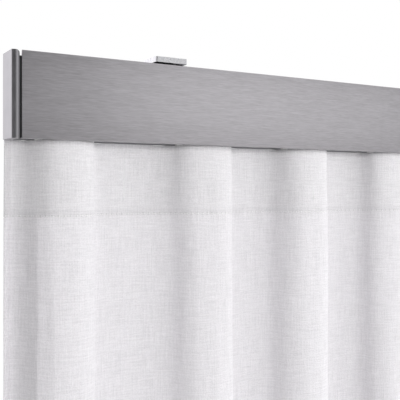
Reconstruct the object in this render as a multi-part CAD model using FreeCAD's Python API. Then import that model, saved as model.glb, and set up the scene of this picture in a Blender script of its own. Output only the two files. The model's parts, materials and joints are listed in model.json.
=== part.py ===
import FreeCAD, Part
import math
import os

# Ceiling-mounted curtain track with a flat fascia, its gliders and a sheer curtain.
# Millimetres. X runs along the track, Y points to the wall, Z points up.
# The origin is midway between the two ceiling screw holes, on the ceiling.

# Overall sizes
FASCIA_LENGTH = 900.0
FASCIA_HEIGHT = 80.0
TRACK_DEPTH = 30.0
CEILING_GAP = 7.5
CURTAIN_DROP = 880.0

# Fascia
FASCIA_WALL = 1.5
FASCIA_LIP = 1.2
FASCIA_EDGE = 0.4
TOP_HOOK_REACH = 2.3
TOP_HOOK_DROP = 4.0
LOWER_HOOK_REACH = 4.0
LOWER_HOOK_RISE = 3.2
HOOK_TIP = 1.0

# Carrier rail
RAIL_DROP = 5.0
RAIL_WALL = 1.6
RAIL_CORNER = 0.8
FOOT_RIB_WALL = 2.4
FIT = 0.1
SLOT_LIP = 1.8
TOP_SLOT_WIDTH = 13.0
TOP_CAVITY_WIDTH = 18.0
TOP_CAVITY_HEIGHT = 6.0
CHANNEL_OFFSET = 5.0
CHANNEL_WIDTH = 15.0
CHANNEL_HEIGHT = 9.5
RUNNER_SLOT_WIDTH = 7.0

# End plugs and end caps
PLUG_FLANGE = 1.8
PLUG_MARGIN = 1.0
PLUG_CORNER = 1.2
PRONG_LENGTH = 14.0
PRONG_WALL = 2.0
PRONG_HEIGHT = 16.0
CAP_WIDTH = 7.4
CAP_WALL = 1.8
CAP_PILLOW = 1.1
CAP_EDGE = 0.35
CAP_TOP_RADIUS = 3.4
CAP_RECESS = 5.2
CAP_RIB = 1.2
PEG_RADIUS = 2.4
PEG_LENGTH = 9.0
PEG_HEIGHT_SHARES = (0.28, 0.72)

# Ceiling clips
CLIP_INSET = 154.0
CLIP_LENGTH = 36.0
CLIP_DEPTH = 29.0
CLIP_WALL = 1.2
CLIP_LIP = 5.5
CLIP_CORNER = 2.0
EYELET_RADIUS = 3.2
EYELET_FLANGE = 4.2
EYELET_FLANGE_WALL = 0.8
EYELET_LENGTH = 10.2
CEILING_SCREW_HOLE = 2.25
CAM_BODY_RADIUS = 9.5
CAM_NECK_RADIUS = 6.2
CAM_HEAD_REACH = 8.3
CAM_HEAD_WIDTH = 12.0
CAM_HEAD_CORNER = 3.5
CAM_HEAD_WALL = 3.0
CAM_RECESS_RADIUS = 4.5
CAM_LEVER_LENGTH = 24.0
CAM_LEVER_WIDTH = 6.0
CAM_LEVER_WALL = 3.0
CAM_LEVER_CORNER = 1.8
CAM_TURN_GAP = 0.3
CAM_BORE_GAP = 0.08

# Gliders, end stops and hooks
FOLDS = 12
END_INSET = 17.5
SPACING_DRIFT = {1: -12.0, 2: 7.0, 3: 2.5, 4: 1.0, 5: -7.5, 6: -9.0, 7: -6.0, 8: -3.0}
RUN_GAP = 0.15
GLIDER_LENGTH = 9.0
GLIDER_SIDE_GAP = 0.5
GLIDER_NOSE = 2.0
GLIDER_HEAD_WALL = 2.4
GLIDER_RIDGE_WIDTH = 4.0
GLIDER_RIDGE_HEIGHT = 3.0
NECK_WIDTH = 5.6
NECK_LENGTH = 6.0
EYE_RADIUS = 2.2
EYE_BORE = 1.3
EYE_WALL = 1.2
EYE_CORNER = 1.2
LEAD_LENGTH = 18.0
LEAD_AHEAD = 4.0
STOP_LENGTH = 14.4
STOP_AHEAD = 3.4
PLAIN_STOP_LENGTH = 5.5
STOP_GAP = 0.5
GRUB_RADIUS = 1.5
GRUB_LENGTH = 6.0
HOOK_WALL = 1.0
HOOK_WIRE = 0.85
HOOK_BORE = 1.55
HOOK_BLADE_WIDTH = 5.0
HOOK_BLADE_LENGTH = 24.0
HOOK_TOOTH = 1.6

# Curtain
CURTAIN_GAP = 0.5
FOLD_DEPTH = 16.0
FOLD_LEAN = 0.8
EASED_LEAN = {0: 0.25, 2: 0.65, 4: 0.52}
FOLD_SKEW = 3.0
END_TURN = 35.0
CLOTH_WALL = 0.5
HEADER_HEIGHT = 72.0
TAPE_WALL = 0.6
TAPE_DROP = 7.0
TAPE_HEIGHT = 50.0
SOFT_GAP = 0.1
HOOK_GAP = 0.3
BLADE_GAP = 0.5

# Places worked out from the sizes
HALF_LENGTH = FASCIA_LENGTH / 2
FRONT = -TRACK_DEPTH / 2
BACK = TRACK_DEPTH / 2
FASCIA_TOP = -CEILING_GAP
FASCIA_FOOT = FASCIA_TOP - FASCIA_HEIGHT
RAIL_FRONT = FRONT + FASCIA_WALL
RAIL_TOP = FASCIA_TOP - RAIL_DROP
RAIL_FOOT = FASCIA_FOOT + FASCIA_LIP
TOP_LIP_FACE = RAIL_TOP - SLOT_LIP
TOP_CAVITY_FLOOR = TOP_LIP_FACE - TOP_CAVITY_HEIGHT
CHANNEL_FLOOR = RAIL_FOOT + RAIL_WALL
CHANNEL_ROOF = CHANNEL_FLOOR + CHANNEL_HEIGHT
CHAMBER_TOP = TOP_CAVITY_FLOOR - RAIL_WALL
CHAMBER_FLOOR = CHANNEL_ROOF + RAIL_WALL
CHAMBER_FRONT = RAIL_FRONT + RAIL_WALL
CHAMBER_BACK = BACK - RAIL_WALL
CHANNEL_FRONT = CHANNEL_OFFSET - CHANNEL_WIDTH / 2
TRACK_LINE = CHANNEL_OFFSET
PEG_Y = CHAMBER_FRONT + (CHAMBER_BACK - CHAMBER_FRONT) * 0.4
CLOTH_TOP = FASCIA_FOOT - CURTAIN_GAP
CLOTH_FOOT = CLOTH_TOP - CURTAIN_DROP
HEADER_FOOT = CLOTH_TOP - HEADER_HEIGHT
HEADER_WALL = 2 * CLOTH_WALL
TAPE_FACE = HEADER_WALL + SOFT_GAP
BLADE_FACE = TAPE_FACE + TAPE_WALL + BLADE_GAP
EYE_DISTANCE = HEADER_WALL + HOOK_GAP + EYE_RADIUS
EYE_HEIGHT = FASCIA_FOOT - EYE_RADIUS - HOOK_GAP
CLIP_PLACES = (-HALF_LENGTH + CLIP_INSET, HALF_LENGTH - CLIP_INSET)

os.makedirs("parts", exist_ok=True)


def vector(x, y, z):
    return FreeCAD.Vector(x, y, z)


def save(name, shape):
    shape.exportStep("parts/" + name + ".step")


def block(x0, x1, y0, y1, z0, z1):
    return Part.makeBox(x1 - x0, y1 - y0, z1 - z0, vector(x0, y0, z0))


def post(radius, x, y, z0, z1):
    return Part.makeCylinder(radius, z1 - z0, vector(x, y, z0), vector(0, 0, 1))


def pin_x(radius, x0, x1, y, z):
    return Part.makeCylinder(radius, x1 - x0, vector(x0, y, z), vector(1, 0, 0))


def pin_y(radius, x, y0, y1, z):
    return Part.makeCylinder(radius, y1 - y0, vector(x, y0, z), vector(0, 1, 0))


def nut(reach, x, z0, z1):
    """Upright hexagonal prism with its corners at the given distance from its middle."""
    angles = [math.radians(60 * count) for count in range(7)]
    corners = [vector(x + reach * math.cos(angle), reach * math.sin(angle), z0) for angle in angles]
    return Part.Face(Part.makePolygon(corners)).extrude(vector(0, 0, z1 - z0))


def octagon_x(inner, x0, x1, y, z):
    """Eight-sided prism along X whose sides lie at the given distance from its middle."""
    reach = inner / math.cos(math.pi / 8)
    angles = [math.radians(22.5 + 45 * count) for count in range(9)]
    corners = [vector(x0, y + reach * math.cos(angle), z + reach * math.sin(angle)) for angle in angles]
    return Part.Face(Part.makePolygon(corners)).extrude(vector(x1 - x0, 0, 0))


def section_face(y0, y1, z0, z1):
    """A rectangle in the track's cross-section, which is the plane X = 0."""
    corners = [vector(0, y0, z0), vector(0, y1, z0), vector(0, y1, z1), vector(0, y0, z1)]
    return Part.Face(Part.makePolygon(corners + corners[:1]))


def along_track(face):
    """Extrude a cross-section over the whole length of the fascia."""
    bar = face.extrude(vector(FASCIA_LENGTH, 0, 0))
    bar.translate(vector(-HALF_LENGTH, 0, 0))
    return bar


def round_edges(shape, radius, wanted):
    """Fillet the edges that the given test picks."""
    edges = [edge for edge in shape.Edges if wanted(edge)]
    return shape.makeFillet(radius, edges)


def bevel_edges(shape, size, wanted):
    """Chamfer the edges that the given test picks."""
    edges = [edge for edge in shape.Edges if wanted(edge)]
    return shape.makeChamfer(size, edges)


def runs_along(edge, axis):
    """True for a straight edge along X (0), Y (1) or Z (2)."""
    if not isinstance(edge.Curve, Part.Line):
        return False
    direction = edge.Curve.Direction
    return abs(direction[axis]) > 0.999


def mirrored(shape):
    return shape.mirror(vector(0, 0, 0), vector(1, 0, 0))


def fascia():
    """Flat cover with a hook at the top and one at the foot, both inside the rail's outline."""
    plate = section_face(FRONT, RAIL_FRONT, FASCIA_FOOT, FASCIA_TOP)
    top_leg = section_face(RAIL_FRONT, RAIL_FRONT + TOP_HOOK_REACH, RAIL_TOP - FASCIA_LIP, RAIL_TOP)
    top_tip = section_face(
        RAIL_FRONT + TOP_HOOK_REACH - HOOK_TIP,
        RAIL_FRONT + TOP_HOOK_REACH,
        RAIL_TOP - TOP_HOOK_DROP,
        RAIL_TOP - FASCIA_LIP,
    )
    foot_leg = section_face(RAIL_FRONT, RAIL_FRONT + LOWER_HOOK_REACH, FASCIA_FOOT, RAIL_FOOT)
    foot_tip = section_face(
        RAIL_FRONT + LOWER_HOOK_REACH - HOOK_TIP,
        RAIL_FRONT + LOWER_HOOK_REACH,
        RAIL_FOOT,
        RAIL_FOOT + LOWER_HOOK_RISE - FASCIA_LIP,
    )
    face = plate.fuse([top_leg, top_tip, foot_leg, foot_tip]).removeSplitter()
    cover = along_track(face)

    def is_front_border(edge):
        box = edge.BoundBox
        if box.YMax > FRONT + 0.01:
            return False
        return runs_along(edge, 0) or runs_along(edge, 2)

    return round_edges(cover, FASCIA_EDGE, is_front_border)


def carrier_rail():
    """Extrusion: clip slot on top, hollow middle, runner channel and its slot at the foot.

    A rib along the wall side comes down as far as the fascia does, so that the track stands level.
    """
    foot_rib = section_face(BACK - FOOT_RIB_WALL, BACK, FASCIA_FOOT, RAIL_FOOT)
    body = section_face(RAIL_FRONT, BACK, RAIL_FOOT, RAIL_TOP).fuse(foot_rib).removeSplitter()
    half_slot = TOP_SLOT_WIDTH / 2
    half_cavity = TOP_CAVITY_WIDTH / 2
    half_runner = RUNNER_SLOT_WIDTH / 2
    leg_back = RAIL_FRONT + TOP_HOOK_REACH + FIT
    tip_front = RAIL_FRONT + TOP_HOOK_REACH - HOOK_TIP - FIT
    foot_back = RAIL_FRONT + LOWER_HOOK_REACH + FIT
    foot_front = RAIL_FRONT + LOWER_HOOK_REACH - HOOK_TIP - FIT
    foot_groove_top = RAIL_FOOT + LOWER_HOOK_RISE - FASCIA_LIP + FIT
    cuts = [
        section_face(RAIL_FRONT, leg_back, RAIL_TOP - FASCIA_LIP, RAIL_TOP),
        section_face(tip_front, leg_back, RAIL_TOP - TOP_HOOK_DROP - FIT, RAIL_TOP - FASCIA_LIP),
        section_face(foot_front, foot_back, RAIL_FOOT, foot_groove_top),
        section_face(-half_slot, half_slot, TOP_LIP_FACE, RAIL_TOP),
        section_face(-half_cavity, half_cavity, TOP_CAVITY_FLOOR, TOP_LIP_FACE),
        section_face(
            TRACK_LINE - CHANNEL_WIDTH / 2, TRACK_LINE + CHANNEL_WIDTH / 2, CHANNEL_FLOOR, CHANNEL_ROOF
        ),
        section_face(TRACK_LINE - half_runner, TRACK_LINE + half_runner, RAIL_FOOT, CHANNEL_FLOOR),
    ]
    chamber = section_face(CHAMBER_FRONT, CHAMBER_BACK, CHAMBER_FLOOR, CHAMBER_TOP)
    front_pocket = section_face(
        CHAMBER_FRONT, CHANNEL_FRONT - RAIL_WALL, foot_groove_top + RAIL_WALL, CHAMBER_FLOOR
    )
    section = body.cut(cuts + [chamber.fuse(front_pocket)])
    rail = along_track(section)

    def is_back_corner(edge):
        box = edge.BoundBox
        at_back = box.YMin > BACK - 0.01
        at_border = box.ZMin > RAIL_TOP - 0.01 or box.ZMax < RAIL_FOOT + 0.01
        return at_back and at_border and runs_along(edge, 0)

    return round_edges(rail, RAIL_CORNER, is_back_corner)


def end_plug():
    """Left-hand plug: a flange between cap and rail, with two prongs into the hollow."""
    x_rail = -HALF_LENGTH
    x_cap = x_rail - PLUG_FLANGE
    flange = block(
        x_cap,
        x_rail,
        FRONT + PLUG_MARGIN,
        BACK - PLUG_MARGIN,
        FASCIA_FOOT + PLUG_MARGIN / 2,
        RAIL_TOP,
    )
    flange = bevel_edges(flange, PLUG_CORNER, lambda edge: runs_along(edge, 0))
    y0 = CHAMBER_FRONT + FIT
    y1 = CHAMBER_BACK - FIT
    upper = CHAMBER_TOP - FIT
    lower = CHAMBER_FLOOR + FIT
    shape = flange
    for z0, z1 in ((upper - PRONG_HEIGHT, upper), (lower, lower + PRONG_HEIGHT)):
        prong = block(x_rail, x_rail + PRONG_LENGTH, y0, y1, z0, z1)
        core = block(
            x_rail, x_rail + PRONG_LENGTH, y0 + PRONG_WALL, y1 - PRONG_WALL, z0 + PRONG_WALL, z1 - PRONG_WALL
        )
        shape = shape.fuse(prong.cut(core))
    holes = []
    for share in PEG_HEIGHT_SHARES:
        z = FASCIA_FOOT + FASCIA_HEIGHT * share
        holes.append(pin_x(PEG_RADIUS + FIT, x_cap, x_rail, PEG_Y, z))
    return shape.cut(holes).removeSplitter()


def end_cap():
    """Left-hand cap: a shell with a pillowed front, open to the plug, with ribs and two pegs."""
    x_in = -HALF_LENGTH - PLUG_FLANGE
    x_out = x_in - CAP_WIDTH
    x_mid = (x_in + x_out) / 2
    y_side = FRONT + CAP_PILLOW
    front = Part.Arc(vector(x_out, y_side, 0), vector(x_mid, FRONT, 0), vector(x_in, y_side, 0))
    rear = Part.makePolygon(
        [vector(x_in, y_side, 0), vector(x_in, BACK, 0), vector(x_out, BACK, 0), vector(x_out, y_side, 0)]
    )
    plan = Part.Face(Part.Wire([front.toShape()] + rear.Edges))
    cap = plan.extrude(vector(0, 0, FASCIA_HEIGHT))
    cap.translate(vector(0, 0, FASCIA_FOOT))

    def is_inner_top(edge):
        box = edge.BoundBox
        return runs_along(edge, 1) and box.XMin > x_in - 0.01 and box.ZMin > FASCIA_TOP - 0.01

    cap = round_edges(cap, CAP_TOP_RADIUS, is_inner_top)

    def is_outer_edge(edge):
        box = edge.BoundBox
        return runs_along(edge, 2) and box.XMax < x_out + 0.01

    cap = round_edges(cap, CAP_EDGE, is_outer_edge)
    floor = x_in - CAP_RECESS
    recess = block(
        floor, x_in, FRONT + 2 * CAP_WALL, BACK - CAP_WALL, FASCIA_FOOT + CAP_WALL, RAIL_TOP - CAP_WALL
    )
    cap = cap.cut(recess)
    extras = []
    for share in PEG_HEIGHT_SHARES:
        z = FASCIA_FOOT + FASCIA_HEIGHT * share
        extras.append(pin_x(PEG_RADIUS, floor, x_in + PEG_LENGTH, PEG_Y, z))
        extras.append(
            block(floor, x_in - CAP_RIB, FRONT + 2 * CAP_WALL, BACK - CAP_WALL, z - CAP_RIB / 2, z + CAP_RIB / 2)
        )
    return cap.fuse(extras).removeSplitter()


def clamp_plate(x):
    """Pressed clip: a flat plate with a turned-down border and a countersunk hole."""
    half_length = CLIP_LENGTH / 2
    half_depth = CLIP_DEPTH / 2
    outer = block(x - half_length, x + half_length, -half_depth, half_depth, -CLIP_LIP, 0)
    outer = round_edges(outer, CLIP_CORNER, lambda edge: runs_along(edge, 2))
    inner = block(
        x - half_length + CLIP_WALL,
        x + half_length - CLIP_WALL,
        -half_depth + CLIP_WALL,
        half_depth - CLIP_WALL,
        -CLIP_LIP,
        -CLIP_WALL,
    )
    tray = outer.cut(inner)
    return tray.cut(eyelet_flare(x))


def eyelet_flare(x):
    """The cone of the rivet's upper end, as deep as the plate."""
    return Part.makeCone(EYELET_RADIUS, EYELET_FLANGE, CLIP_WALL, vector(x, 0, -CLIP_WALL), vector(0, 0, 1))


def eyelet(x):
    """Hollow rivet through plate and cam; the ceiling screw goes up through it."""
    tube = post(EYELET_RADIUS, x, 0, -EYELET_LENGTH, -CLIP_WALL)
    flange = post(EYELET_FLANGE, x, 0, -EYELET_LENGTH, -EYELET_LENGTH + EYELET_FLANGE_WALL)
    bore = post(CEILING_SCREW_HOLE, x, 0, -EYELET_LENGTH, 0)
    return tube.fuse([eyelet_flare(x), flange]).cut(bore).removeSplitter()


def turn_cam(x):
    """Turn-lock: nut and lever above the rail, neck in the slot, T-head under the slot's lips."""
    body_top = -CLIP_WALL - CAM_TURN_GAP
    body_foot = RAIL_TOP + CAM_TURN_GAP
    head_top = TOP_LIP_FACE - CAM_TURN_GAP
    head_foot = head_top - CAM_HEAD_WALL
    lever_foot = body_foot
    body = nut(CAM_BODY_RADIUS, x, body_foot, body_top)
    neck = nut(CAM_NECK_RADIUS, x, head_top, body_foot)
    half = CAM_HEAD_WIDTH / 2
    head = block(x - half, x + half, -CAM_HEAD_REACH, CAM_HEAD_REACH, head_foot, head_top)
    head = bevel_edges(head, CAM_HEAD_CORNER, lambda edge: runs_along(edge, 2))
    half = CAM_LEVER_WIDTH / 2
    lever_top = lever_foot + CAM_LEVER_WALL
    lever = block(x - half, x + half, 0, CAM_LEVER_LENGTH, lever_foot, lever_top)

    def is_lever_end(edge):
        return runs_along(edge, 2) and edge.BoundBox.YMin > CAM_LEVER_LENGTH - 0.01

    lever = bevel_edges(lever, CAM_LEVER_CORNER, is_lever_end)
    cam = body.fuse([neck, head, lever]).removeSplitter()
    bore = post(EYELET_RADIUS + CAM_BORE_GAP, x, 0, head_foot, body_top)
    ledge = -EYELET_LENGTH + EYELET_FLANGE_WALL
    recess = post(CAM_RECESS_RADIUS, x, 0, head_foot, ledge)
    return cam.cut([bore, recess])


def spacing():
    return (FASCIA_LENGTH - 2 * END_INSET) / FOLDS


def crossing_x(index):
    """Where the cloth crosses the track line, one place for each hook."""
    if index < 0:
        return crossing_x(0) - END_TURN
    if index > FOLDS:
        return crossing_x(FOLDS) + END_TURN
    return -HALF_LENGTH + END_INSET + index * spacing() + SPACING_DRIFT.get(index, 0.0)


def crossing_slope(index):
    """Mean spacing of the cloth's crossings about one of them."""
    if index < 0 or index > FOLDS:
        return END_TURN
    return (crossing_x(index + 1) - crossing_x(index - 1)) / 2


def lean(index):
    """How far a fold swells past its crossing; it does less where the cloth hangs more easily."""
    return EASED_LEAN.get(index, FOLD_LEAN) * spacing() / (2 * math.pi)


def flank_angle(index):
    """Angle of the cloth against X where it crosses the track line."""
    dx = crossing_slope(index) - 2 * math.pi * lean(index)
    dy = -math.pi * FOLD_DEPTH * math.cos(math.pi * index)
    return math.atan2(dy, dx)


def eye_x(index):
    """Middle of the eye that carries a hook: behind the cloth, on the track line."""
    side = 1 if index % 2 == 0 else -1
    return crossing_x(index) + side * EYE_DISTANCE / abs(math.sin(flank_angle(index)))


def crossing(index):
    """A place where the cloth crosses the track line, and its direction there."""
    angle = flank_angle(index)
    return vector(crossing_x(index), TRACK_LINE, 0), vector(math.cos(angle), math.sin(angle), 0)


def crest(index):
    """The foremost or rearmost place of the fold after a crossing, and its direction there."""
    middle = (crossing_x(index) + crossing_x(index + 1)) / 2
    x = middle + (crossing_slope(index) - crossing_slope(index + 1)) / 8
    is_front = index % 2 == 0
    if is_front:
        return vector(x + FOLD_SKEW, TRACK_LINE - FOLD_DEPTH, 0), vector(1, 0, 0)
    return vector(x, TRACK_LINE + FOLD_DEPTH, 0), vector(1, 0, 0)


def arc_stations(start, way, end):
    """Start, middle and end of the arc that leaves start along way, each with its normal."""
    chord = end - start
    side = vector(-way.y, way.x, 0)
    radius = chord.dot(chord) / (2 * side.dot(chord))
    centre = start + side * radius
    middle = centre + (start + end - centre * 2).normalize() * abs(radius)
    return [(point, (centre - point) / radius) for point in (start, middle, end)]


def joining_arcs(start, start_way, end, end_way):
    """The two tangent arcs between two places of the cloth."""
    gap = end - start
    along = gap.dot(start_way + end_way)
    bend = 2 * (1 - start_way.dot(end_way))
    reach = (math.sqrt(along ** 2 + bend * gap.dot(gap)) - along) / bend
    before = start + start_way * reach
    after = end - end_way * reach
    joint = (before + after) / 2
    joint_way = (after - before).normalize()
    return [arc_stations(start, start_way, joint), arc_stations(joint, joint_way, end)]


def fold_arcs():
    """All the arcs of the cloth's front face in plan, from its left edge to its right one."""
    places = [crest(-1)]
    for index in range(FOLDS + 1):
        places += [crossing(index), crest(index)]
    arcs = []
    for (start, start_way), (end, end_way) in zip(places, places[1:]):
        arcs += joining_arcs(start, start_way, end, end_way)
    return arcs


def cloth_layer(z_low, z_high, front, back):
    """Cloth in folds between two heights and two offsets from its front face."""
    arcs = fold_arcs()
    near = [Part.Arc(*[point + normal * front for point, normal in arc]) for arc in arcs]
    far = [Part.Arc(*[point + normal * back for point, normal in arc[::-1]]) for arc in arcs[::-1]]
    last = Part.LineSegment(near[-1].EndPoint, far[0].StartPoint)
    first = Part.LineSegment(far[-1].EndPoint, near[0].StartPoint)
    outline = Part.Wire([curve.toShape() for curve in near + [last] + far + [first]])
    layer = Part.Face(outline).extrude(vector(0, 0, z_high - z_low))
    layer.translate(vector(0, 0, z_low))
    return layer


def curtain():
    """One cloth with a doubled header, hanging in even folds."""
    header = cloth_layer(HEADER_FOOT, CLOTH_TOP, 0.0, HEADER_WALL)
    body = cloth_layer(CLOTH_FOOT, HEADER_FOOT, 0.0, CLOTH_WALL)
    return header.fuse(body).removeSplitter()


def heading_tape():
    """Stiff tape sewn behind the header, which keeps the folds even."""
    top = CLOTH_TOP - TAPE_DROP
    return cloth_layer(top - TAPE_HEIGHT, top, TAPE_FACE, TAPE_FACE + TAPE_WALL)


def runner_body(x0, x1):
    """Head of a glider: wings with bevelled noses that ride on the channel's lips, and a ridge."""
    half = CHANNEL_WIDTH / 2 - GLIDER_SIDE_GAP
    z0 = CHANNEL_FLOOR + RUN_GAP
    head = block(x0, x1, TRACK_LINE - half, TRACK_LINE + half, z0, z0 + GLIDER_HEAD_WALL)
    head = bevel_edges(head, GLIDER_NOSE, lambda edge: runs_along(edge, 2))
    ridge = block(
        x0 + 1.5,
        x1 - 1.5,
        TRACK_LINE - GLIDER_RIDGE_WIDTH / 2,
        TRACK_LINE + GLIDER_RIDGE_WIDTH / 2,
        z0 + GLIDER_HEAD_WALL,
        z0 + GLIDER_HEAD_WALL + GLIDER_RIDGE_HEIGHT,
    )
    return head.fuse(ridge)


def runner_neck(x, length):
    """Neck through the slot with the eye below it, whose bore lies along Y."""
    neck = block(
        x - length / 2,
        x + length / 2,
        TRACK_LINE - NECK_WIDTH / 2,
        TRACK_LINE + NECK_WIDTH / 2,
        FASCIA_FOOT + RUN_GAP,
        CHANNEL_FLOOR + RUN_GAP,
    )
    y0 = TRACK_LINE - EYE_WALL / 2
    y1 = TRACK_LINE + EYE_WALL / 2
    eye_foot = EYE_HEIGHT - EYE_RADIUS
    eye = block(x - EYE_RADIUS, x + EYE_RADIUS, y0, y1, eye_foot, FASCIA_FOOT + RUN_GAP)

    def is_foot_corner(edge):
        return runs_along(edge, 1) and edge.BoundBox.ZMax < eye_foot + 0.01

    eye = bevel_edges(eye, EYE_CORNER, is_foot_corner)
    return neck.fuse(eye.cut(pin_y(EYE_BORE, x, y0, y1, EYE_HEIGHT)))


def glider(index):
    x = eye_x(index)
    body = runner_body(x - GLIDER_LENGTH / 2, x + GLIDER_LENGTH / 2)
    return body.fuse(runner_neck(x, NECK_LENGTH)).removeSplitter()


def lead_carrier():
    """Long glider at the curtain's moving edge."""
    x = eye_x(FOLDS)
    body = runner_body(x + LEAD_AHEAD - LEAD_LENGTH, x + LEAD_AHEAD)
    return body.fuse(runner_neck(x, NECK_LENGTH)).removeSplitter()


def stop_body(x0, x1, grub_x):
    """Block that fills the channel, with a threaded hole from below."""
    half = CHANNEL_WIDTH / 2 - GLIDER_SIDE_GAP
    z0 = CHANNEL_FLOOR + RUN_GAP
    z1 = CHANNEL_ROOF - GLIDER_SIDE_GAP
    shape = block(x0, x1, TRACK_LINE - half, TRACK_LINE + half, z0, z1)
    neck_half = NECK_WIDTH / 2
    neck = block(x0, x1, TRACK_LINE - neck_half, TRACK_LINE + neck_half, RAIL_FOOT, z0)
    hole = post(GRUB_RADIUS, grub_x, TRACK_LINE, RAIL_FOOT, z1)
    return shape.fuse(neck).cut(hole)


def grub_screw(x):
    """Set screw that presses the stop against the channel's roof."""
    return post(GRUB_RADIUS, x, TRACK_LINE, CHANNEL_ROOF - GRUB_LENGTH, CHANNEL_ROOF)


def left_stop_span():
    return eye_x(0) + STOP_AHEAD - STOP_LENGTH, eye_x(0) + STOP_AHEAD


def right_stop_span():
    start = eye_x(FOLDS) + LEAD_AHEAD + STOP_GAP
    return start, start + PLAIN_STOP_LENGTH


def end_stop_left():
    """Stop with the eye for the curtain's fixed end."""
    x0, x1 = left_stop_span()
    grub_x = x0 + STOP_LENGTH / 4
    return stop_body(x0, x1, grub_x).fuse(runner_neck(eye_x(0), NECK_LENGTH)).removeSplitter()


def end_stop_right():
    x0, x1 = right_stop_span()
    return stop_body(x0, x1, (x0 + x1) / 2)


def hook(index):
    """Hook that lies behind the tape: an open curl in the eye above a toothed blade."""
    angle = flank_angle(index)
    side = 1 if index % 2 == 0 else -1
    shift = -side * EYE_DISTANCE * math.cos(angle) / abs(math.sin(angle))
    x0 = EYE_DISTANCE - HOOK_WALL / 2
    ring_foot = EYE_HEIGHT - (EYE_RADIUS + EYE_BORE) / 2
    outer = HOOK_BORE + HOOK_WIRE
    curl = octagon_x(outer, x0, x0 + HOOK_WALL, shift, ring_foot)
    curl = curl.cut(octagon_x(HOOK_BORE, x0, x0 + HOOK_WALL, shift, ring_foot))
    mouth = block(x0, x0 + HOOK_WALL, shift, shift + outer, ring_foot - HOOK_BORE, ring_foot)
    curl = curl.cut(mouth)
    blade_top = ring_foot - HOOK_BORE - HOOK_WIRE / 2
    half = HOOK_BLADE_WIDTH / 2
    stem = block(
        x0,
        x0 + HOOK_WALL,
        min(-half, shift - HOOK_WIRE),
        max(half, shift + HOOK_WIRE),
        blade_top - 2 * HOOK_WIRE,
        blade_top,
    )
    blade = block(
        BLADE_FACE, BLADE_FACE + HOOK_WALL, -half, half, blade_top - HOOK_BLADE_LENGTH, blade_top - HOOK_WIRE
    )
    foot = blade_top - HOOK_BLADE_LENGTH
    tooth = block(
        BLADE_FACE + HOOK_WALL, BLADE_FACE + HOOK_WALL + HOOK_TOOTH / 2, -half, half, foot, foot + HOOK_TOOTH
    )
    shape = curl.fuse([stem, blade, tooth]).removeSplitter()
    # The blade faces away from the cloth, whose back looks to +X or -X by turns.
    turn = math.degrees(angle) + 90.0
    shape.rotate(vector(0, 0, 0), vector(0, 0, 1), turn)
    shape.translate(vector(crossing_x(index), TRACK_LINE, 0))
    return shape


def numbered(name, index):
    return name + "_" + str(index + 1).zfill(2)


save("carrier_rail", carrier_rail())
save("fascia", fascia())
for name, maker in (("end_plug", end_plug), ("end_cap", end_cap)):
    piece = maker()
    save(name + "_left", piece)
    save(name + "_right", mirrored(piece))
for name, x in zip(("left", "right"), CLIP_PLACES):
    save("clamp_plate_" + name, clamp_plate(x))
    save("eyelet_" + name, eyelet(x))
    save("cam_" + name, turn_cam(x))
save("end_stop_left", end_stop_left())
save("end_stop_right", end_stop_right())
save("stop_screw_left", grub_screw(left_stop_span()[0] + STOP_LENGTH / 4))
save("stop_screw_right", grub_screw(sum(right_stop_span()) / 2))
for index in range(1, FOLDS):
    save(numbered("glider", index), glider(index))
save("lead_carrier", lead_carrier())
for index in range(FOLDS + 1):
    save(numbered("hook", index), hook(index))
save("curtain", curtain())
save("heading_tape", heading_tape())
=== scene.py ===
"""Looks of a ceiling curtain track: brushed fascia, end caps, clips, gliders and a sheer curtain in folds."""
import json
import math

import bpy
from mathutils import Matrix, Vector, noise


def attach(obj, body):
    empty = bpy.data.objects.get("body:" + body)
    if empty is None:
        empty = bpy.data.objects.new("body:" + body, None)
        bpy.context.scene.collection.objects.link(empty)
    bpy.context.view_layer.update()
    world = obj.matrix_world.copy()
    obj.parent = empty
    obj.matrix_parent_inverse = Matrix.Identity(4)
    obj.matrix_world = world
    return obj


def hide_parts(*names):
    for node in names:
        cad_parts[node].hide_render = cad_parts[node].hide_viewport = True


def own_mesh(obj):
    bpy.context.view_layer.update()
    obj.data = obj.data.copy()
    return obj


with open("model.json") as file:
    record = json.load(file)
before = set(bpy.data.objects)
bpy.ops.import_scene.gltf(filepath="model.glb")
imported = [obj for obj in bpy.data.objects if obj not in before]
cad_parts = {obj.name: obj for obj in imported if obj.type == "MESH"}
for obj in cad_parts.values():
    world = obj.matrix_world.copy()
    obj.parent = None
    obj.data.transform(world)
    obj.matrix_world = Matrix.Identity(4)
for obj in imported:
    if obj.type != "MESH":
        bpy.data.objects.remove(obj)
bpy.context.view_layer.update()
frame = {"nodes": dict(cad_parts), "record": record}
NODES = frame["nodes"]

# Camera, fitted to the photograph's 400 x 400 frame
CAMERA_PLACE = (-0.6405, -0.6530, -0.1359)
CAMERA_YAW = -30.6
CAMERA_LENS = 64.35
CAMERA_SHIFT = -0.021

# The track, in metres, as in the solids
HALF = 0.450
TRACK_LINE = 0.005
# Heights over which the fascia's colour grows darker towards its top and towards its foot
DARKER_TOWARDS_TOP = (-0.045, -0.010)
DARKER_TOWARDS_FOOT = (-0.050, -0.0875)

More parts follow.
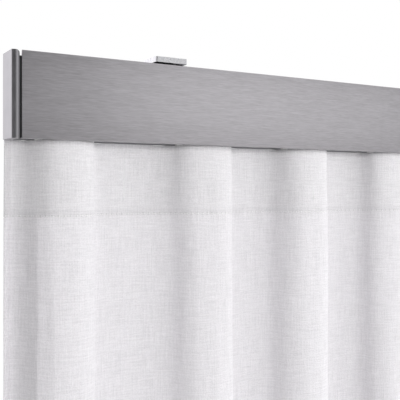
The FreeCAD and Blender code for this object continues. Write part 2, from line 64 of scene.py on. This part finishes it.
# The folds cross the track's line at the turns 0 to FOLDS; an even bay lies in front, an odd one behind
FOLDS = 12
END_INSET = 0.0175
END_TURN = 0.035
END_CURL = 0.62
SPACING = (2 * HALF - 2 * END_INSET) / FOLDS
SPACING_DRIFT = {1: -0.012, 2: 0.007, 3: 0.0025, 4: 0.001, 5: -0.0075, 6: -0.009, 7: -0.006, 8: -0.003}
USUAL_LEAN = 0.80
LEAN = {-1: 0.1, 0: 0.25, 2: 0.69, 4: 0.52, FOLDS + 1: 0.1}
FRONT_SKEW = 0.003
BAY_SKEW = {1: -0.007, 3: 0.004, 5: 0.003}
HALF_DEPTH = 0.0148
DEPTH_GAIN_BELOW_TOP = 0.0022
DEPTH_GAIN_BELOW_HEADER = 0.0025
DEPTH_UNEVENNESS = 0.05
SETTLE_TURN = 2.0
SETTLE_SHIFT = 0.0035
SETTLE_LEAN = 0.0008
WANDER_ALONG = 0.0035
WANDER_ACROSS = 0.002

# The cloth's heights and layers
CLOTH_TOP = -0.088
CLOTH_FOOT = -0.968
HEADER_FOOT = CLOTH_TOP - 0.072
FOOT_HEM_TOP = CLOTH_FOOT + 0.090
SIDE_HEM = 0.0345
CLOTH_WALL = 0.0005
LAYER_FRONT = CLOTH_WALL + 0.00005
LAYER_BACK = 0.0011
TOP_RISE = 0.0003
CROWN = 0.0008
RIPPLE = 0.0011
FINE_RIPPLE_SHARE = 0.35
ARC_HEIGHT = CLOTH_TOP - 0.05
COLUMNS_PER_TURN = 30
FINE_ROW = 0.006
COARSE_ROW = 0.011
CLOTH_UV = "cloth"

# The heading tape and the header's seam
TAPE_TOP = -0.095
TAPE_FOOT = -0.145
TAPE_FRONT = 0.0012
TAPE_BACK = 0.0017
SEAM = HEADER_FOOT + 0.0012
STITCH_PITCH = 0.0058
STITCH_LENGTH = 0.0040
STITCH_RADIUS = 0.00030
STITCH_LIFT = 0.0001
STITCH_DIP = 0.0002
STITCH_SIDES = 5

# Soft boxes give the diffuse light: name, place, size and power
FILL = 0.40
LAMP_AIM = (-0.2, 0.0, -0.3)
LAMPS = (
    ("key", (1.7, -2.1, -0.3), 1.6, 17),
    ("key_side", (2.4, -1.2, -0.3), 1.6, 29),
    ("rim", (2.7, -0.2, -0.3), 1.6, 5),
    ("front", (0.8, -2.65, -0.3), 1.6, 22),
    ("left", (-3.45, -2.85, -0.3), 2.0, 39.5),
    ("back", (-0.2, 2.9, 0.3), 1.6, 26),
)

# Gloss sees a grey room: its greys in front from far left (0) to far right (1), behind, and below the horizon
ROOM_GREYS = ((0.0, 1.0), (0.10, 0.55), (0.22, 0.16), (0.60, 0.11), (0.67, 0.46), (0.74, 1.14), (0.79, 1.10),
              (0.86, 0.98), (0.93, 0.42), (1.0, 0.36))
ROOM_BEHIND = (1.37, 1.35, 1.38)
ROOM_BELOW = (0.45, 0.45, 0.45)
FLOOR_HALF = 6.0
FLOOR_HEIGHT = -1.30
FLOOR_FADE = (0.9, 2.4)


def new_object(name, mesh, material, body="track"):
    piece = bpy.data.objects.new(name, mesh)
    bpy.context.scene.collection.objects.link(piece)
    mesh.materials.append(material)
    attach(piece, body)
    return piece


def smooth(mesh):
    mesh.polygons.foreach_set("use_smooth", [True] * len(mesh.polygons))


def ease(t):
    """A soft step from 0 to 1."""
    t = max(0.0, min(1.0, t))
    return t * t * (3 - 2 * t)


class Tree:
    """Short way to write a node tree."""

    def __init__(self, tree):
        self.tree = tree
        tree.nodes.clear()

    def add(self, kind, **values):
        """A node with its settings; in_N gives the value of its input N."""
        node = self.tree.nodes.new(kind)
        for key, value in values.items():
            if key.startswith("in_"):
                node.inputs[int(key[3:])].default_value = value
            else:
                setattr(node, key, value)
        return node

    def link(self, output, node, socket):
        self.tree.links.new(output, node.inputs[socket])

    def math(self, operation, a, b=None):
        node = self.add("ShaderNodeMath", operation=operation)
        for index, value in enumerate((a, b)):
            if value is None:
                continue
            if isinstance(value, (int, float)):
                node.inputs[index].default_value = value
            else:
                self.link(value, node, index)
        return node.outputs[0]

    def product(self, a, b):
        return self.math("MULTIPLY", a, b)

    def weighted(self, *pairs):
        """Sum of values, each times its weight."""
        total = None
        for value, weight in pairs:
            part = self.product(value, weight)
            total = part if total is None else self.math("ADD", total, part)
        return total

    def split(self, vector):
        """The x, y and z of a vector."""
        node = self.add("ShaderNodeSeparateXYZ")
        self.link(vector, node, 0)
        return node.outputs

    def coords(self, kind, scale):
        """The cloth's flat places, or other texture coordinates, in metres times scale."""
        if kind == CLOTH_UV:
            source = self.add("ShaderNodeUVMap", uv_map=CLOTH_UV).outputs["UV"]
        else:
            source = self.add("ShaderNodeTexCoord").outputs[kind]
        mapping = self.add("ShaderNodeMapping")
        mapping.inputs["Scale"].default_value = scale
        self.link(source, mapping, "Vector")
        return mapping.outputs[0]

    def noise(self, kind, scale, detail=2.0, rough=0.5):
        """Noise with so many grains per metre in each direction."""
        node = self.add("ShaderNodeTexNoise")
        node.inputs["Scale"].default_value = 1.0
        node.inputs["Detail"].default_value = detail
        node.inputs["Roughness"].default_value = rough
        self.link(self.coords(kind, scale), node, "Vector")
        return node.outputs["Fac"]

    def span(self, value, low, high, out_low, out_high):
        """Maps low..high to out_low..out_high, held at the ends."""
        node = self.add("ShaderNodeMapRange", clamp=True)
        for index, number in enumerate((low, high, out_low, out_high)):
            node.inputs[index + 1].default_value = number
        self.link(value, node, 0)
        return node.outputs[0]

    def step(self, value, place, before, after, half=0.0003):
        """Changes from before to after at a place, over twice the half width."""
        return self.span(value, place - half, place + half, before, after)

    def near(self, value, middle, inner, outer):
        """1 within inner of the middle, 0 beyond outer."""
        away = self.math("ABSOLUTE", self.math("SUBTRACT", value, middle))
        return self.span(away, inner, outer, 1, 0)

    def tint(self, share, dark, light):
        """Colour between dark and light, each a colour or an output."""
        node = self.add("ShaderNodeMix", data_type="RGBA")
        for index, colour in ((6, dark), (7, light)):
            if isinstance(colour, tuple):
                node.inputs[index].default_value = (*colour, 1)
            else:
                self.link(colour, node, index)
        self.link(share, node, 0)
        return node.outputs[2]

    def bump(self, height, distance, strength=1.0):
        node = self.add("ShaderNodeBump")
        node.inputs["Strength"].default_value = strength
        node.inputs["Distance"].default_value = distance
        self.link(height, node, "Height")
        return node.outputs[0]

    def direct_rays(self):
        """1 for what the camera sees, also through open weave."""
        rays = self.add("ShaderNodeLightPath").outputs
        return self.math("MAXIMUM", rays["Is Camera Ray"], rays["Is Transmission Ray"])

    def mix_shaders(self, share, first, second):
        node = self.add("ShaderNodeMixShader")
        self.link(share, node, 0)
        self.link(first.outputs[0], node, 1)
        self.link(second.outputs[0], node, 2)
        return node

    def close(self, shader, kind="ShaderNodeOutputMaterial"):
        self.link(shader.outputs[0], self.add(kind), "Surface")


def new_material(name):
    material = bpy.data.materials.new(name)
    material.use_nodes = True
    return material, Tree(material.node_tree)


def principled(tree, **values):
    shader = tree.add("ShaderNodeBsdfPrincipled")
    for key, value in values.items():
        shader.inputs[key.replace("_", " ")].default_value = value
    tree.close(shader)
    return shader


def brushed_metal():
    """Fascia: fine grain along the length, in long uneven strokes, darker towards both long edges."""
    material, tree = new_material("fascia_brushed")
    shader = principled(tree, Metallic=1.0, Roughness=0.32, Anisotropic=0.6, Anisotropic_Rotation=0.25)
    fine = tree.noise("Object", (120, 60, 2000), 2.0, 0.6)
    stroke = tree.noise("Object", (70, 40, 1100), 2.0, 0.6)
    cloud = tree.noise("Object", (30, 9, 260), 2.0, 0.5)
    grain = tree.weighted((fine, 0.35), (stroke, 0.5), (cloud, 0.15))
    height = tree.split(tree.coords("Object", (1, 1, 1)))[2]
    # the colour grows darker towards the top and towards the foot
    upper = tree.span(height, *DARKER_TOWARDS_TOP, 0, 1)
    lower = tree.span(height, *DARKER_TOWARDS_FOOT, 0, 1)
    edges = tree.weighted((tree.product(upper, upper), 0.22), (tree.product(lower, lower), 0.27))
    shade = tree.math("SUBTRACT", tree.span(grain, 0.36, 0.64, 0.4, 1), edges)
    tree.link(tree.tint(shade, (0.358, 0.344, 0.361), (0.608, 0.591, 0.619)), shader, "Base Color")
    tree.link(tree.span(grain, 0.35, 0.65, 0.28, 0.36), shader, "Roughness")
    tree.link(tree.bump(fine, 0.00002, 0.5), shader, "Normal")
    return material


def satin_metal(name, dark, light, rough, scale, bump=0.4):
    """Anodised or plated metal with faint unevenness."""
    material, tree = new_material(name)
    shader = principled(tree, Metallic=1.0, Roughness=rough)
    grain = tree.noise("Object", scale, 3.0, 0.55)
    tree.link(tree.tint(tree.span(grain, 0.35, 0.65, 0, 1), dark, light), shader, "Base Color")
    tree.link(tree.span(grain, 0.35, 0.65, rough - 0.03, rough + 0.03), shader, "Roughness")
    tree.link(tree.bump(grain, 0.00002, bump), shader, "Normal")
    return material


def galvanised():
    """Zinc-coated sheet: spangles with a grainy surface."""
    material, tree = new_material("clip_galvanised")
    shader = principled(tree, Metallic=1.0, Roughness=0.38)
    cells = tree.add("ShaderNodeTexVoronoi", feature="F1")
    cells.inputs["Scale"].default_value = 1.0
    tree.link(tree.coords("Object", (420, 420, 420)), cells, "Vector")
    spangle = tree.add("ShaderNodeSeparateColor")
    tree.link(cells.outputs["Color"], spangle, 0)
    grain = tree.noise("Object", (900, 900, 900), 3.0, 0.6)
    both = tree.weighted((spangle.outputs[0], 0.5), (grain, 0.5))
    shade = tree.span(both, 0.25, 0.75, 0, 1)
    tree.link(tree.tint(shade, (0.66, 0.66, 0.69), (0.98, 0.98, 1.0)), shader, "Base Color")
    tree.link(tree.span(both, 0.3, 0.7, 0.3, 0.5), shader, "Roughness")
    tree.link(tree.bump(both, 0.00006, 0.6), shader, "Normal")
    return material


def plastic(name, dark, light, rough, specular=0.5):
    """Moulded plastic with a fine eroded texture."""
    material, tree = new_material(name)
    shader = principled(tree, Roughness=rough, Specular_IOR_Level=specular)
    grain = tree.noise("Object", (1500, 1500, 1500), 3.0, 0.6)
    cloud = tree.noise("Object", (60, 60, 60), 2.0, 0.5)
    shade = tree.span(tree.weighted((grain, 0.4), (cloud, 0.6)), 0.35, 0.65, 0, 1)
    tree.link(tree.tint(shade, dark, light), shader, "Base Color")
    tree.link(tree.bump(grain, 0.00002, 0.5), shader, "Normal")
    return material


def linen_density(tree):
    """Linen weave: fine warp and weft threads of uneven weight. Gives thread density, 0 to 1."""
    warp = tree.noise(CLOTH_UV, (760, 40, 1), 2.0, 0.7)
    weft = tree.noise(CLOTH_UV, (60, 760, 1), 2.0, 0.7)
    slub = tree.noise(CLOTH_UV, (38, 560, 1), 1.0, 0.5)
    crossing = tree.noise(CLOTH_UV, (620, 620, 1), 2.0, 0.7)
    total = tree.weighted((warp, 0.28), (weft, 0.24), (slub, 0.16), (crossing, 0.32))
    return tree.span(total, 0.37, 0.63, 0, 1)


def seam_holes_and_painted_shade(tree, along, height):
    """Painted shade along the header's folded-in edge, where the cloth is one layer thicker and lets less
    light through, and the seam's needle holes.
    """
    # painted shade: a darker band just above the header's foot
    tuck_shade = tree.product(tree.step(height, HEADER_FOOT, 0, 1),
                          tree.span(height, HEADER_FOOT + 0.0055, HEADER_FOOT + 0.0068, 1, 0))
    phase = tree.math("FRACT", tree.product(along, 1 / STITCH_PITCH))
    holes = tree.product(tree.near(phase, 0.5, 0.09, 0.16), tree.near(height, SEAM, 0.0006, 0.0010))
    return tree.weighted((tuck_shade, 0.042), (holes, 0.30))


def side_light(tree, along, height):
    """Painted light and shade by the side: painted shade where the side hem is a double layer below the
    header, a painted brightening over the hem that fades out just beyond it, and a painted highlight where
    the folded outer edge catches the light.
    """
    under = tree.step(height, HEADER_FOOT, 1, 0)
    # painted shade on the double hem, painted light over and beside it, painted highlight at the outer edge
    double_layer_shade = tree.product(tree.step(along, SIDE_HEM, 1, 0), under)
    painted_lift = tree.product(tree.span(along, 0.038, 0.060, 0.085, 0), under)
    edge = tree.span(along, 0.0, 0.014, 0.10, 0)
    return tree.weighted((double_layer_shade, -0.04), (painted_lift, 1.0), (edge, 1.0))


def sheer_cloth():
    """Sheer linen-like voile that scatters light, lets some through and is open between its threads."""
    material, tree = new_material("curtain_linen")
    density = linen_density(tree)
    place = tree.split(tree.add("ShaderNodeUVMap", uv_map=CLOTH_UV).outputs["UV"])
    along, height = place[0], place[1]
    shade = tree.math("SUBTRACT", 1.0, seam_holes_and_painted_shade(tree, along, height))
    shade = tree.math("ADD", shade, side_light(tree, along, height))
    colour = tree.add("ShaderNodeVectorMath", operation="SCALE")
    tree.link(tree.tint(density, (0.765, 0.754, 0.771), (0.905, 0.892, 0.911)), colour, 0)
    tree.link(shade, colour, "Scale")
    bump = tree.bump(density, 0.00040, 0.9)
    sides = []
    for kind in ("ShaderNodeBsdfDiffuse", "ShaderNodeBsdfTranslucent"):
        side = tree.add(kind)
        tree.link(colour.outputs[0], side, "Color")
        tree.link(bump, side, "Normal")
        sides.append(side)
    # the header has further layers behind it, so less light comes through
    through = tree.step(height, HEADER_FOOT, 0.27, 0.14, half=0.0005)
    cloth = tree.mix_shaders(through, *sides)
    # open weave lets some of the white behind show through; more shows towards the outer edge, as a painted
    # highlight there
    clear = tree.math("ADD", tree.span(density, 0.0, 1.0, 0.09, 0.01), tree.span(along, 0.0, 0.007, 0.4, 0))
    tree.close(tree.mix_shaders(clear, cloth, tree.add("ShaderNodeBsdfTransparent")))
    return material


def tape_cloth():
    """Heading tape: dense ribbed weave."""
    material, tree = new_material("tape_weave")
    shader = principled(tree, Roughness=0.85)
    rib = tree.noise(CLOTH_UV, (1400, 8, 1), 2.0, 0.5)
    weft = tree.noise(CLOTH_UV, (20, 1500, 1), 2.0, 0.5)
    both = tree.weighted((rib, 0.5), (weft, 0.5))
    shade = tree.span(both, 0.35, 0.65, 0, 1)
    tree.link(tree.tint(shade, (0.70, 0.70, 0.71), (0.88, 0.88, 0.88)), shader, "Base Color")
    tree.link(tree.bump(both, 0.0002, 0.6), shader, "Normal")
    return material


def sewing_thread():
    """Pale twisted thread."""
    material, tree = new_material("sewing_thread")
    shader = principled(tree, Roughness=0.6)
    twist = tree.span(tree.noise("Object", (3000, 3000, 3000), 1.0, 0.5), 0.35, 0.65, 0, 1)
    tree.link(tree.tint(twist, (0.90, 0.90, 0.90), (0.97, 0.97, 0.97)), shader, "Base Color")
    return material


def dress(node, material):
    """Give a CAD node its material, on the object and not on the mesh."""
    piece = NODES[node]
    for place in piece.material_slots:
        place.link = "OBJECT"
        place.material = material


def dress_nodes():
    by_slot = {
        "rail_aluminium": satin_metal("rail_anodised", (0.33, 0.33, 0.34), (0.40, 0.40, 0.41), 0.5,
                                      (8, 900, 900)),
        "fascia_metal": brushed_metal(),
        "cap_metal": satin_metal("cap_satin", (0.365, 0.357, 0.377), (0.385, 0.377, 0.397), 0.32,
                                 (90, 90, 90), bump=0.02),
        "galvanised_steel": galvanised(),
        "zinc_steel": satin_metal("zinc_plated", (0.58, 0.58, 0.58), (0.70, 0.70, 0.70), 0.28,
                                  (500, 500, 500)),
        "black_plastic": plastic("black_moulded", (0.008, 0.008, 0.009), (0.018, 0.018, 0.020), 0.55,
                                 specular=0.25),
        "white_plastic": plastic("white_moulded", (0.76, 0.76, 0.75), (0.84, 0.84, 0.83), 0.4),
    }
    for part in frame["record"]["subparts"]:
        material = by_slot.get(part["material_slot"])
        if material:
            dress(part["node"], material)


def crossing_x(index):
    """Where the folds cross the track's line."""
    if index < 0:
        return crossing_x(0) - END_TURN
    if index > FOLDS:
        return crossing_x(FOLDS) + END_TURN
    return -HALF + END_INSET + index * SPACING + SPACING_DRIFT.get(index, 0.0)


def crossing_slope(index):
    if index < 0 or index > FOLDS:
        return END_TURN
    return (crossing_x(index + 1) - crossing_x(index - 1)) / 2


def lean_at(index):
    """How far the flank overhangs at a crossing; at 1 it would stand square to the track."""
    return LEAN.get(index, USUAL_LEAN) * SPACING / (2 * math.pi)


def below_header(z, length):
    """0 down to the header's foot, 1 from a length below it."""
    return ease((HEADER_FOOT - z) / length)


def wander(turn, z, seed, size):
    """Slow sideways drift, nothing at the header and more towards the foot."""
    return size * below_header(z, 0.5) * noise.noise(Vector((turn * 0.9, z * 2.2, seed)))


def half_depth(turn, z):
    """Half the depth of the folds: shallow at the tape, deeper below."""
    below_top = ease((CLOTH_TOP - z) / 0.10)
    depth = HALF_DEPTH + DEPTH_GAIN_BELOW_TOP * below_top + DEPTH_GAIN_BELOW_HEADER * below_header(z, 0.45)
    return depth * (1 + DEPTH_UNEVENNESS * noise.noise(Vector((round(turn) * 1.7, z * 3.0, 4.0))))


def top_rise(turn, z):
    """The top edge reaches up close to the track, and a little higher where it passes behind the rail."""
    crest = ease((-math.sin(math.pi * turn) - 0.73) / 0.12)
    return (TOP_RISE + CROWN * crest) * ease((z - CLOTH_TOP + 0.012) / 0.012)


def settle(turn, z):
    """Below the header one flank has drifted to the right and stands steeper."""
    down = ease((HEADER_FOOT + 0.012 - z) / 0.035)
    close = ease(1 - abs(turn - SETTLE_TURN) / 0.75)
    return down * close * (SETTLE_SHIFT - SETTLE_LEAN * math.sin(2 * math.pi * turn))


def fold_point(turn, z):
    """A point of the cloth's front face in plan."""
    index = max(-1, min(FOLDS, math.floor(turn)))
    t = turn - index
    x0, x1 = crossing_x(index), crossing_x(index + 1)
    m0, m1 = crossing_slope(index), crossing_slope(index + 1)
    base = ((2 * t ** 3 - 3 * t ** 2 + 1) * x0 + (t ** 3 - 2 * t ** 2 + t) * m0
            + (3 * t ** 2 - 2 * t ** 3) * x1 + (t ** 3 - t ** 2) * m1)
    lean = lean_at(index) + (lean_at(index + 1) - lean_at(index)) * ease(t)
    skew = FRONT_SKEW if index % 2 == 0 else BAY_SKEW.get(index, 0.0)
    x = base - lean * math.sin(2 * math.pi * turn) + wander(turn, z, 1.0, WANDER_ALONG)
    x += skew * math.sin(math.pi * turn) ** 2 + settle(turn, z)
    y = TRACK_LINE - half_depth(turn, z) * math.sin(math.pi * turn) + wander(turn, z, 7.0, WANDER_ACROSS)
    return x, y


def back_normal(turn, z):
    """Unit vector in plan from the cloth's front face towards its back."""
    small = 1e-4
    xa, ya = fold_point(turn - small, z)
    xb, yb = fold_point(turn + small, z)
    size = math.hypot(xb - xa, yb - ya)
    return -(yb - ya) / size, (xb - xa) / size


def ripple_at(run, z, size):
    """Fine unevenness of the cloth at an arc length and a height."""
    broad = noise.noise(Vector((run * 60, z * 7, 2.0)))
    fine = noise.noise(Vector((run * 170, z * 16, 9.0)))
    return size * broad + FINE_RIPPLE_SHARE * size * fine


def even_steps(start, end, count):
    return [start + (end - start) * i / count for i in range(count + 1)]


def rows_between(z_high, z_low, step):
    return even_steps(z_high, z_low, max(2, round((z_high - z_low) / step)))


def turns_between(start, end):
    return even_steps(start, end, max(2, round((end - start) * COLUMNS_PER_TURN)))


def arc_table(turns):
    """Arc length at each turn value, in metres."""
    lengths = [0.0]
    for a, b in zip(turns, turns[1:]):
        pa, pb = fold_point(a, ARC_HEIGHT), fold_point(b, ARC_HEIGHT)
        lengths.append(lengths[-1] + math.hypot(pb[0] - pa[0], pb[1] - pa[1]))
    return lengths


def turn_at(run, turns, table):
    """The turn value at an arc length."""
    for index in range(1, len(table)):
        if table[index] >= run:
            share = (run - table[index - 1]) / (table[index] - table[index - 1])
            return turns[index - 1] + (turns[index] - turns[index - 1]) * share
    return turns[-1]


def sheet_points(turns, rows, offsets, ripple):
    """The points of a sheet's two sides, row by row, and the flat place of each."""
    table = arc_table(turns)
    points, flat = [], []
    for offset in offsets:
        for z in rows:
            size = ripple * ease((CLOTH_TOP - 0.02 - z) / 0.06)
            for turn, run in zip(turns, table):
                x, y = fold_point(turn, z)
                nx, ny = back_normal(turn, z)
                shift = offset + ripple_at(run, z, size)
                points.append((x + nx * shift, y + ny * shift, z + top_rise(turn, z)))
                flat.append((run, z))
    return points, flat


def sheet_faces(columns, rows):
    """The faces of both sides and of the four edges between them."""
    back = columns * rows
    faces = []
    for r in range(rows - 1):
        for c in range(columns - 1):
            a = r * columns + c
            b = back + a
            faces.append((a, a + columns, a + columns + 1, a + 1))
            faces.append((b, b + 1, b + columns + 1, b + columns))
    for c in range(columns - 1):
        top, foot = c, (rows - 1) * columns + c
        faces.append((top, top + 1, back + top + 1, back + top))
        faces.append((foot, back + foot, back + foot + 1, foot + 1))
    for r in range(rows - 1):
        left, right = r * columns, r * columns + columns - 1
        faces.append((left, back + left, back + left + columns, left + columns))
        faces.append((right, right + columns, back + right + columns, back + right))
    return faces


def sheet_mesh(name, turns, rows, front, back, ripple=RIPPLE):
    """A closed thin layer of cloth between two offsets behind the front face, with its own UV map."""
    points, flat = sheet_points(turns, rows, (front, back), ripple)
    mesh = bpy.data.meshes.new(name)
    mesh.from_pydata(points, [], sheet_faces(len(turns), len(rows)))
    corners = [0] * len(mesh.loops)
    mesh.loops.foreach_get("vertex_index", corners)
    places = []
    for corner in corners:
        places.extend(flat[corner])
    mesh.uv_layers.new(name=CLOTH_UV).data.foreach_set("uv", places)
    smooth(mesh)
    mesh.validate()
    return mesh


def gather(piece):
    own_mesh(piece)


def make_curtain():
    """The cloth, and behind it the header, the foot hem and the side hems, each folded to the back."""
    linen = sheer_cloth()
    turns = turns_between(-END_CURL, FOLDS + END_CURL)
    table = arc_table(turns)
    width = table[-1]

    def layer(name, stretch, rows, front=LAYER_FRONT, back=LAYER_BACK):
        return new_object(name, sheet_mesh(name, stretch, rows, front, back), linen)

    rows = rows_between(CLOTH_TOP, HEADER_FOOT, FINE_ROW)
    rows += rows_between(HEADER_FOOT, CLOTH_FOOT, COARSE_ROW)[1:]
    cloth = layer("curtain_cloth", turns, rows, 0.0, CLOTH_WALL)
    header = layer("curtain_header", turns, rows_between(CLOTH_TOP - 0.0004, HEADER_FOOT, FINE_ROW))
    hem = layer("curtain_foot_hem", turns, rows_between(FOOT_HEM_TOP, CLOTH_FOOT + 0.0004, COARSE_ROW))
    side_rows = rows_between(HEADER_FOOT - 0.0005, FOOT_HEM_TOP + 0.0005, COARSE_ROW)
    left = turns_between(-END_CURL, turn_at(SIDE_HEM, turns, table))
    right = turns_between(turn_at(width - SIDE_HEM, turns, table), FOLDS + END_CURL)
    sides = [layer("curtain_side_hem_left", left, side_rows),
             layer("curtain_side_hem_right", right, side_rows)]
    for piece in [cloth, header, hem] + sides:
        gather(piece)
    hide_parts("curtain")
    return turns, table


def make_tape():
    """The stiff tape behind the header, from the first hook to the last."""
    turns = turns_between(-0.5, FOLDS + 0.5)
    rows = rows_between(TAPE_TOP, TAPE_FOOT, FINE_ROW)
    mesh = sheet_mesh("heading_tape_weave", turns, rows, TAPE_FRONT, TAPE_BACK, ripple=0.0)
    tape = new_object("heading_tape_weave", mesh, tape_cloth())
    gather(tape)
    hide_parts("heading_tape")


def stitch_path(run, turns, table):
    """Points along one stitch, each with the way out of the cloth; both ends dip into it."""
    path = []
    for share in (-0.5, -0.25, 0.25, 0.5):
        turn = turn_at(run + STITCH_LENGTH * share, turns, table)
        x, y = fold_point(turn, SEAM)
        nx, ny = back_normal(turn, SEAM)
        rise = (STITCH_LIFT if abs(share) < 0.3 else -STITCH_DIP) - ripple_at(run, SEAM, RIPPLE)
        path.append((x - nx * rise, y - ny * rise, -nx, -ny))
    return path


def stitch_tube(path, start):
    """Points and faces of one stitch, whose first point has the number start."""
    points, faces = [], []
    for x, y, nx, ny in path:
        for side in range(STITCH_SIDES):
            angle = 2 * math.pi * side / STITCH_SIDES
            out, up = STITCH_RADIUS * math.cos(angle), STITCH_RADIUS * math.sin(angle)
            points.append((x + nx * out, y + ny * out, SEAM + up))
    for ring in range(len(path) - 1):
        for side in range(STITCH_SIDES):
            a = start + ring * STITCH_SIDES + side
            b = start + ring * STITCH_SIDES + (side + 1) % STITCH_SIDES
            faces.append((a, b, b + STITCH_SIDES, a + STITCH_SIDES))
    last = start + (len(path) - 1) * STITCH_SIDES
    faces.append(tuple(start + side for side in range(STITCH_SIDES))[::-1])
    faces.append(tuple(last + side for side in range(STITCH_SIDES)))
    return points, faces


def make_stitches(turns, table):
    """A row of short thread stitches on the cloth's front face, along the header's seam."""
    points, faces = [], []
    for number in range(int((table[-1] - STITCH_PITCH) / STITCH_PITCH)):
        path = stitch_path(STITCH_PITCH * (number + 0.5), turns, table)
        tube_points, tube_faces = stitch_tube(path, len(points))
        points.extend(tube_points)
        faces.extend(tube_faces)
    mesh = bpy.data.meshes.new("header_stitches")
    mesh.from_pydata(points, [], faces)
    smooth(mesh)
    row = new_object("header_stitches", mesh, sewing_thread())
    gather(row)


def make_camera():
    data = bpy.data.cameras.new("camera")
    data.lens = CAMERA_LENS
    data.sensor_width = 36.0
    data.shift_y = CAMERA_SHIFT
    data.clip_start = 0.01
    camera = bpy.data.objects.new("camera", data)
    camera.location = CAMERA_PLACE
    camera.rotation_euler = (math.radians(90), 0, math.radians(CAMERA_YAW))
    bpy.context.scene.collection.objects.link(camera)
    bpy.context.scene.camera = camera


def room_greys(tree, x, y):
    """The room's greys in front, by how far to the right a direction points."""
    flat = tree.math("ADD", tree.product(x, x), tree.product(y, y))
    side = tree.math("DIVIDE", x, tree.math("SQRT", tree.math("ADD", flat, 0.0001)))
    ramp = tree.add("ShaderNodeValToRGB")
    stops = ramp.color_ramp.elements
    while len(stops) < len(ROOM_GREYS):
        stops.new(0.5)
    for stop, (place, grey) in zip(stops, ROOM_GREYS):
        stop.position = place
        stop.color = (grey, grey, grey, 1)
    tree.link(tree.span(side, -1, 1, 0, 1), ramp, 0)
    return ramp.outputs[0]


def make_world():
    """White behind the object; a soft grey room, lighter on the right, for light and gloss."""
    world = bpy.data.worlds.new("studio")
    bpy.context.scene.world = world
    world.use_nodes = True
    tree = Tree(world.node_tree)
    x, y, z = tree.split(tree.add("ShaderNodeTexCoord").outputs["Generated"])
    room = tree.tint(tree.span(y, -0.1, 0.4, 0, 1), room_greys(tree, x, y), ROOM_BEHIND)
    room = tree.tint(tree.span(z, -0.03, 0.02, 0, 1), ROOM_BELOW, room)
    gloss = tree.add("ShaderNodeBackground", in_1=1.0)
    tree.link(room, gloss, "Color")
    fill = tree.add("ShaderNodeBackground", in_0=(1.0, 0.99, 1.0, 1), in_1=FILL)
    white = tree.add("ShaderNodeBackground", in_0=(1, 1, 1, 1), in_1=1.0)
    glossy = tree.add("ShaderNodeLightPath").outputs["Is Glossy Ray"]
    light = tree.mix_shaders(glossy, fill, gloss)
    tree.close(tree.mix_shaders(tree.direct_rays(), light, white), "ShaderNodeOutputWorld")


def make_floor():
    """A pale floor that fades to white away from the object."""
    material, tree = new_material("floor_pale")
    shader = tree.add("ShaderNodeBsdfDiffuse")
    cloud = tree.noise("Object", (2, 2, 2), 2.0, 0.5)
    tree.link(tree.tint(cloud, (0.80, 0.80, 0.80), (0.86, 0.86, 0.86)), shader, "Color")
    away = tree.add("ShaderNodeVectorMath", operation="LENGTH")
    tree.link(tree.coords("Object", (1, 1, 0)), away, 0)
    share = tree.product(tree.span(away.outputs["Value"], *FLOOR_FADE, 0, 1), tree.direct_rays())
    tree.close(tree.mix_shaders(share, shader, tree.add("ShaderNodeEmission")))
    half = FLOOR_HALF
    corners = [(x, y, FLOOR_HEIGHT) for x, y in ((-half, -half), (half, -half), (half, half), (-half, half))]
    mesh = bpy.data.meshes.new("floor")
    mesh.from_pydata(corners, [], [(0, 1, 2, 3)])
    mesh.materials.append(material)
    floor = bpy.data.objects.new("floor", mesh)
    bpy.context.scene.collection.objects.link(floor)


def make_lamp(name, place, size, power):
    """A soft box for the diffuse light; gloss takes its softer reflection from the room."""
    data = bpy.data.lights.new(name, "AREA")
    data.size = size
    data.energy = power
    lamp = bpy.data.objects.new(name, data)
    lamp.visible_glossy = False
    lamp.location = place
    lamp.rotation_euler = (Vector(LAMP_AIM) - Vector(place)).to_track_quat("-Z", "Y").to_euler()
    bpy.context.scene.collection.objects.link(lamp)


make_camera()
make_world()
make_floor()
for lamp_row in LAMPS:
    make_lamp(*lamp_row)
bpy.context.scene.view_settings.view_transform = "Standard"
dress_nodes()
cloth_turns, cloth_table = make_curtain()
make_tape()
make_stitches(cloth_turns, cloth_table)
